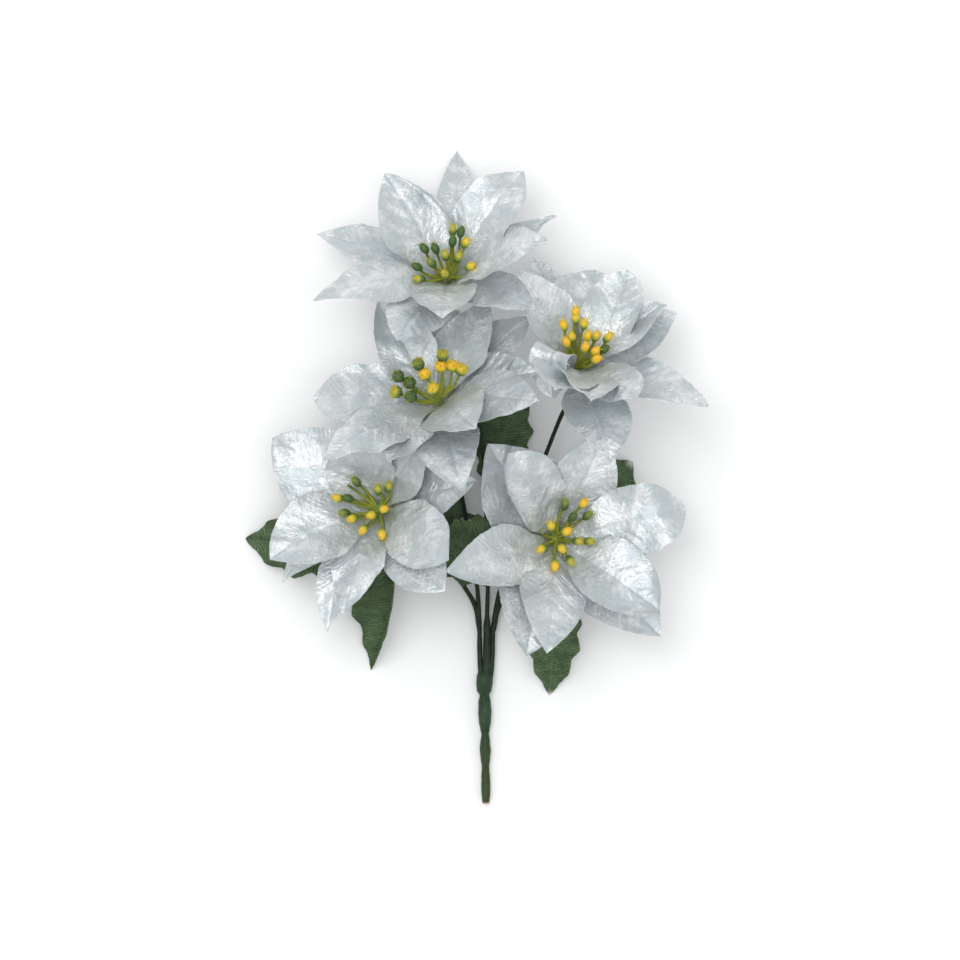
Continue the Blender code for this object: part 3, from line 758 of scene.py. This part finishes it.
def add_blade(form, chart_layer, number_layer, tip_layer, grid, charts, number, frayed):
    """Add a blade's grid of points to a mesh as quads."""
    rows = []
    end = grid[-1][len(grid[-1]) // 2]
    for points in grid:
        made = [form.verts.new(point * MM) for point in points]
        for vert, point in zip(made, points):
            vert[number_layer] = number
            vert[tip_layer] = smooth(frayed, 0.0, (point - end).length) if frayed else 0.0
        rows.append(made)
    for row in range(len(rows) - 1):
        for column in range(len(rows[0]) - 1):
            corners = ((row, column), (row, column + 1), (row + 1, column + 1), (row + 1, column))
            face = form.faces.new([rows[r][c] for r, c in corners])
            for loop, (r, c) in zip(face.loops, corners):
                loop[chart_layer].uv = charts[r][c]


def cloth_piece(name, blades, paint):
    """Make one piece of cloth from the grids of its blades, and give it its thickness."""
    form = bmesh.new()
    chart_layer = form.loops.layers.uv.new("blade")
    number_layer = form.verts.layers.float.new("blade_number")
    tip_layer = form.verts.layers.float.new("tip")
    for number, frayed, grid, charts in blades:
        add_blade(form, chart_layer, number_layer, tip_layer, grid, charts, number, frayed)
    mesh = bpy.data.meshes.new(name)
    form.to_mesh(mesh)
    form.free()
    thing = new_object(name, mesh, paint)
    solid = thing.modifiers.new("thickness", "SOLIDIFY")
    solid.thickness = CLOTH * MM
    solid.offset = 0.0
    bpy.context.view_layer.update()
    graph = bpy.context.evaluated_depsgraph_get()
    thing.data = bpy.data.meshes.new_from_object(thing.evaluated_get(graph))
    thing.modifiers.clear()
    bpy.data.meshes.remove(mesh)
    thing.data.name = name
    thing.data.shade_smooth()
    thing.data.set_sharp_from_angle(angle=math.radians(60))
    return thing


def settle(piece, material_slot, *nodes):
    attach(piece, "root")
    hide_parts(*nodes)


def hub_disc(seat, axis, radius, number):
    """The small round middle that joins a piece's blades, as a grid from its centre outward."""
    first = axis.orthogonal().normalized()
    second = axis.cross(first)
    grid, charts = [], []
    for share in HUB_RINGS:
        points, marks = [], []
        for step in range(HUB_SIDES + 1):
            angle = 2 * math.pi * step / HUB_SIDES
            way = (first * math.cos(angle) + second * math.sin(angle)) * radius * share
            points.append(seat + way)
            marks.append((0.5 + way.dot(first) / 100, way.dot(second) / 100))
        grid.append(points)
        charts.append(marks)
    return number, 0.0, grid, charts


def flat_size(blade, line, kind):
    """A blade's length and area before it was bent."""
    length = area = 0.0
    for row in range(1, len(line)):
        step = (line[row][0] - line[row - 1][0]).length
        t = (kind.places[row] + kind.places[row - 1]) / 2
        length += step
        area += step * blade.width * kind.share_at(t, blade.point)
    return length, area


def star(name, blades, seat, axis, hub_radius, facing, first, kind):
    """Petals or leaves round one hub, as one sheet of cloth. It sums its blades' flat widths, longest length and
    areas side by side, but nothing uses the sums.
    """
    parts = [hub_disc(seat, axis, hub_radius, BLADE_STEP * first)]
    width = length = 0.0
    area = math.pi * hub_radius ** 2
    for at, blade in enumerate(blades):
        number = BLADE_STEP * (first + at)
        line = midrib(blade, seat, axis, hub_radius - ROOT_DEPTH, facing, kind.places)
        grid, charts = blade_grid(blade, line, kind, number)
        parts.append((number, blade.frayed, grid, charts))
        blade_length, blade_area = flat_size(blade, line, kind)
        width += blade.width
        length = max(length, blade_length)
        area += blade_area
    piece = cloth_piece(name + "_cloth", parts, kind.paint)
    settle(piece, kind.slot, name)


def petal_star(name, bloom, petals, hub, radius, first, kind):
    """The petals of one layer of a bloom, on a hub that sits at a height along the bloom's axis."""
    axis = bloom_axis(bloom)
    seat = Vector(bloom.centre) + axis * hub
    moved = [petal._replace(tip=tuple(Vector(petal.tip) - axis * hub)) for petal in petals]
    star(name, moved, seat, axis, radius, axis, first, kind)


def sprig_seat(sprig):
    """Where a sprig's ring sits, and which way the branch runs through it."""
    if sprig.knot is None:
        bloom = BLOOMS[sprig.branch]
        axis = bloom_axis(bloom)
        return Vector(bloom.centre) + axis * LEAF_RING, axis
    points, _ = branch_route(sprig.branch)
    return points[sprig.knot], (points[sprig.knot + 1] - points[sprig.knot - 1]).normalized()


def leaf_star(name, sprig, first, kind):
    """The leaves on one ring."""
    seat, axis = sprig_seat(sprig)
    star(name, sprig.leaves, seat, axis, RING_RADIUS, UP, first, kind)


# Moulded pieces

def smooth_route(points, lead, steps):
    """Run a smooth curve through the points and on toward lead, with some steps between each two."""
    route = []
    for at in range(len(points) - 1):
        before, start, end = points[max(at - 1, 0)], points[at], points[at + 1]
        after = points[at + 2] if at + 2 < len(points) else lead
        for step in range(steps):
            t = step / steps
            route.append(0.5 * (
                2 * start + (end - before) * t
                + (2 * before - 5 * start + 4 * end - after) * t ** 2
                + (3 * start - before - 3 * end + after) * t ** 3
            ))
    route.append(points[-1])
    return route


def branch_route(name):
    """The branch's own points up to the foot of its straight neck, and its tip in the tuft."""
    bloom = BLOOMS[name]
    centre, axis = Vector(bloom.centre), bloom_axis(bloom)
    points = [Vector(point) for point in BRANCHES[name].route]
    return points + [centre + axis * NECK_FOOT], centre + axis * BRANCH_TIP


def add_tube(form, points, radii, sides, ripe=None):
    """Add a closed tube along points, and give its points the numbers in ripe."""
    rings = []
    layer = form.verts.layers.float.get("ripe")
    before = None
    for at, (point, radius) in enumerate(zip(points, radii)):
        run = (points[min(at + 1, len(points) - 1)] - points[max(at - 1, 0)]).normalized()
        if before is None:
            before = run.orthogonal().normalized()
        first = (before - run * before.dot(run)).normalized()
        second = run.cross(first)
        before = first
        ring = []
        for step in range(sides):
            angle = 2 * math.pi * step / sides
            vert = form.verts.new((point + (first * math.cos(angle) + second * math.sin(angle)) * radius) * MM)
            if ripe is not None:
                vert[layer] = ripe[at]
            ring.append(vert)
        rings.append(ring)
    for lower, upper in zip(rings, rings[1:]):
        for step in range(sides):
            after = (step + 1) % sides
            form.faces.new((lower[step], lower[after], upper[after], upper[step]))
    form.faces.new(rings[0][::-1])
    form.faces.new(rings[-1])


def moulded_piece(name, form, paint, sharp=40):
    mesh = bpy.data.meshes.new(name)
    bmesh.ops.recalc_face_normals(form, faces=form.faces)
    form.to_mesh(mesh)
    form.free()
    thing = new_object(name, mesh, paint)
    mesh.shade_smooth()
    mesh.set_sharp_from_angle(angle=math.radians(sharp))
    return thing


def outline_radius(distance):
    """The trunk's radius at a distance from its cut end, rounded between the outline's points."""
    for (low, before), (high, after) in zip(TRUNK_OUTLINE, TRUNK_OUTLINE[1:]):
        if distance <= high:
            return before + (after - before) * smooth(low, high, distance)
    return TRUNK_OUTLINE[-1][1]


def add_trunk(form):
    """The knobbly trunk, with shallow dents all over it."""
    end, head = Vector(TRUNK_END), Vector(TRUNK_HEAD)
    run = (head - end).normalized()
    first = run.cross(UP).normalized()
    second = run.cross(first)
    length = TRUNK_OUTLINE[-1][0]
    rings = []
    for ring in range(TRUNK_RINGS + 1):
        distance = length * ring / TRUNK_RINGS
        radius = outline_radius(distance)
        points = []
        for step in range(TRUNK_SIDES):
            angle = 2 * math.pi * step / TRUNK_SIDES
            way = first * math.cos(angle) + second * math.sin(angle)
            dent = 1 + 0.09 * noise.noise(Vector((way.x * 1.3, distance / 5.0, way.z * 1.3)))
            points.append(form.verts.new((end + run * distance + way * radius * dent) * MM))
        rings.append(points)
    for lower, upper in zip(rings, rings[1:]):
        for step in range(TRUNK_SIDES):
            after = (step + 1) % TRUNK_SIDES
            form.faces.new((lower[step], lower[after], upper[after], upper[step]))
    form.faces.new(rings[0][::-1])
    form.faces.new(rings[-1])


def add_branch(form, name):
    """A branch, with its sleeve tapering off where it has one."""
    points, tip = branch_route(name)
    steps = 8
    route = smooth_route(points, tip, steps) + [tip]
    sleeve = BRANCHES[name].sleeve * steps
    radii = []
    for at in range(len(route)):
        thick = (SLEEVE_SCALE - 1) * (1 - smooth(sleeve - steps * 0.4, sleeve, at)) if sleeve else 0.0
        foot = FOOT_SWELL * (1 - smooth(0, 3 * steps, at))
        uneven = 1 + 0.10 * noise.noise(route[at] / 6)
        radii.append(BRANCH_RADIUS * (1 + thick + foot) * uneven)
    add_tube(form, route, radii, 14)


def add_turned(form, outline, place, axis, sides=20):
    """A turned form from an outline of heights and radii along an axis."""
    points = [place + axis * height for height, _ in outline]
    add_tube(form, points, [radius for _, radius in outline], sides)


def add_calyx(form, name):
    bloom = BLOOMS[name]
    bottom = CALYX_TOP - CALYX_HEIGHT
    outline = (
        (bottom, 1.3), (bottom + 1.0, 1.6), (bottom + 2.5, 2.4), (CALYX_TOP - 2.0, 3.2),
        (CALYX_TOP - 0.8, CALYX_RADIUS), (CALYX_TOP, CALYX_RADIUS),
    )
    add_turned(form, outline, Vector(bloom.centre), bloom_axis(bloom))


def add_collar(form, name):
    seat, axis = sprig_seat(SPRIGS[name])
    top = -HUB_HEIGHT / 2 - CLEARANCE
    outline = ((top - COLLAR_HEIGHT, 1.3), (top - 1.8, 1.9), (top - 0.8, COLLAR_RADIUS), (top, COLLAR_RADIUS))
    add_turned(form, outline, seat, axis)


def stem(paint):
    form = bmesh.new()
    add_trunk(form)
    for name in BRANCHES:
        add_branch(form, name)
    for name in BLOOMS:
        add_calyx(form, name)
    for name in SPRIGS:
        add_collar(form, name)
    piece = moulded_piece("stem_moulding", form, paint)
    settle(piece, "stem", "stem")


def add_berry(form, place, axis, ripe, bumpy, number):
    """An egg-shaped or a bumpy round berry on its stalk's end, with small spikes on its crown."""
    layer = form.verts.layers.float.get("ripe")
    width, length = (BUMPY_WIDTH, BUMPY_WIDTH) if bumpy else (BERRY_WIDTH, BERRY_LENGTH)
    pose = Matrix.Translation(place) @ axis.to_track_quat("Z", "Y").to_matrix().to_4x4()
    made = bmesh.ops.create_icosphere(form, subdivisions=4 if bumpy else 3, radius=0.5)
    for vert in made["verts"]:
        way = vert.co.normalized()
        if bumpy:
            swell = 0.94 + 0.34 * abs(noise.noise(way * 4.2 + Vector((number, 0, 0))))
            narrow = 1.0
        else:
            swell = 1 + 0.05 * noise.noise(way * 2.0 + Vector((number, 0, 0)))
            narrow = 1 - 0.30 * max(way.z, 0.0) ** 2 - 0.10 * max(-way.z, 0.0) ** 2
        local = Vector((way.x * width * narrow, way.y * width * narrow, way.z * length)) * 0.5 * swell
        vert.co = (pose @ local) * MM
        vert[layer] = ripe - 0.55 * smooth(-0.45, 0.85, -way.z)
    spikes, thick = (SPIKES * 2, BUMPY_SPIKE_RADIUS) if bumpy else (SPIKES, SPIKE_RADIUS)
    for spike in range(spikes):
        angle = 2 * math.pi * (spike + 0.3 * number) / SPIKES
        lean = (0.6, 1.1, 1.8, 2.6)[spike % (4 if bumpy else 2)]
        way = Vector((math.cos(angle) * lean, math.sin(angle) * lean, 1.0)).normalized()
        foot = pose @ Vector((way.x * width * 0.42, way.y * width * 0.42, way.z * length * 0.42))
        top = foot + (pose.to_3x3() @ way) * SPIKE_LENGTH
        tone = 0.45 + 0.25 * ripe
        add_tube(form, [foot, foot.lerp(top, 0.6), top], [thick, thick * 0.7, 0.06], 6, [tone] * 3)


def tuft(name, bloom, first, paint):
    """The moulded button in a bloom's heart, and the berries on their stalks."""
    form = bmesh.new()
    form.verts.layers.float.new("ripe")
    axis = bloom_axis(bloom)
    centre = Vector(bloom.centre)
    top = BUTTON_BOTTOM + BUTTON_HEIGHT
    outline = (
        (BUTTON_BOTTOM, BUTTON_RADIUS * 0.96), (BUTTON_BOTTOM + 0.5, BUTTON_RADIUS), (top - 1.2, BUTTON_RADIUS),
        (top - 0.4, BUTTON_RADIUS * 0.85), (top, BUTTON_RADIUS * 0.5),
    )
    points = [centre + axis * height for height, _ in outline]
    add_tube(form, points, [radius for _, radius in outline], 20, [0.36] * len(outline))
    for at, (east, north, ripe) in enumerate(bloom.berries):
        reach = Vector((east, north, 0.0))
        height = math.sqrt(max(STALK_LENGTH ** 2 - reach.length_squared, 0.0))
        spot = centre + reach + UP * max(height, LOWEST_BERRY)
        aim = (spot - centre).normalized()
        outward = aim - axis * aim.dot(axis)
        foot = centre + axis * (top - 1.4) + outward * STALK_SPREAD
        way = (spot - foot).normalized()
        sway = way.cross(Vector((math.sin(at * 2.1), math.cos(at * 2.1), 0.3))).normalized() * 0.7
        sway += outward * STALK_BOW
        stalk = []
        radii = []
        for step in range(9):
            t = step / 8
            stalk.append(foot.lerp(spot, t) + sway * math.sin(math.pi * t ** 0.7))
            radii.append(STALK_RADIUS * (1.25 - 0.35 * smooth(0.0, 0.5, t)))
        tones = [0.44 - 0.14 * smooth(0.3, 1.0, step / 8) * (1 - max(ripe, 0.0)) for step in range(9)]
        add_tube(form, stalk, radii, 10, tones)
        if ripe != BARE:
            nod = (way + reach.normalized() * BERRY_NOD).normalized()
            add_berry(form, spot, nod, ripe, bloom.bumpy, first + at)
    piece = moulded_piece(name + "_berries", form, paint, 50)
    settle(piece, "tuft", name)


# Floor, light and camera

def floor():
    size = 6000.0 * MM
    mesh = bpy.data.meshes.new("floor")
    corners = [(-size, -size, 0), (size, -size, 0), (size, size, 0), (-size, size, 0)]
    mesh.from_pydata(corners, [], [(0, 1, 2, 3)])
    new_object("floor", mesh, floor_material())


def softbox(name, place, target, size, power, tone=(1.0, 1.0, 1.0)):
    lamp = bpy.data.lights.new(name, "AREA")
    lamp.shape = "RECTANGLE"
    lamp.size, lamp.size_y = size
    lamp.energy = power
    lamp.color = tone
    thing = bpy.data.objects.new(name, lamp)
    thing.location = place
    thing.rotation_euler = (Vector(target) - Vector(place)).to_track_quat("-Z", "Y").to_euler()
    bpy.context.scene.collection.objects.link(thing)


def lights():
    world = bpy.data.worlds.new("studio")
    world.use_nodes = True
    world.node_tree.nodes["Background"].inputs["Color"].default_value = colour(0.985, 0.995, 1.0)
    world.node_tree.nodes["Background"].inputs["Strength"].default_value = 0.8
    bpy.context.scene.world = world
    softbox("key", (-0.5, 0.6, 2.1), (0, 0, 0.03), (1.0, 1.0), 11.0)
    softbox("front", (0.1, -0.1, 2.7), (0, 0, 0.03), (1.6, 1.6), 14.0)


def camera():
    lens = bpy.data.cameras.new("photograph")
    distance = CAMERA_PLACE[2] - PICTURE_HEIGHT
    lens.sensor_width = SENSOR
    lens.lens = SENSOR * distance / (PHOTO_PIXELS * PIXEL_SIZE)
    lens.clip_start = 0.05
    lens.clip_end = 100.0
    thing = bpy.data.objects.new("photograph", lens)
    thing.location = Vector(CAMERA_PLACE) * MM
    bpy.context.scene.collection.objects.link(thing)
    bpy.context.scene.camera = thing


def build():
    camera()
    lights()
    floor()
    petal_rows = tuple(1 - (1 - row / PETAL_ROWS) ** TIP_CROWDING for row in range(PETAL_ROWS + 1))
    leaf_rows = tuple(row / LEAF_ROWS for row in range(LEAF_ROWS + 1))
    petals = Kind(petal_rows, petal_share, petal_relief, PETAL_COLUMNS, petal_material(), "petals")
    leaves = Kind(leaf_rows, leaf_share, leaf_relief, LEAF_COLUMNS, leaf_material(), "leaves")
    berries = berry_material()
    stem(stem_material())
    first = 0
    for name, bloom in BLOOMS.items():
        petal_star("back_petals_" + name, bloom, bloom.back, BACK_HUB, BACK_HUB_RADIUS, first, petals)
        petal_star("front_petals_" + name, bloom, bloom.front, FRONT_HUB, FRONT_HUB_RADIUS, first + 6, petals)
        tuft("tuft_" + name, bloom, first, berries)
        first += 12
    for name, sprig in SPRIGS.items():
        leaf_star("leaves_" + name, sprig, first, leaves)
        first += 3
    bpy.context.scene.view_settings.view_transform = "Standard"


build()
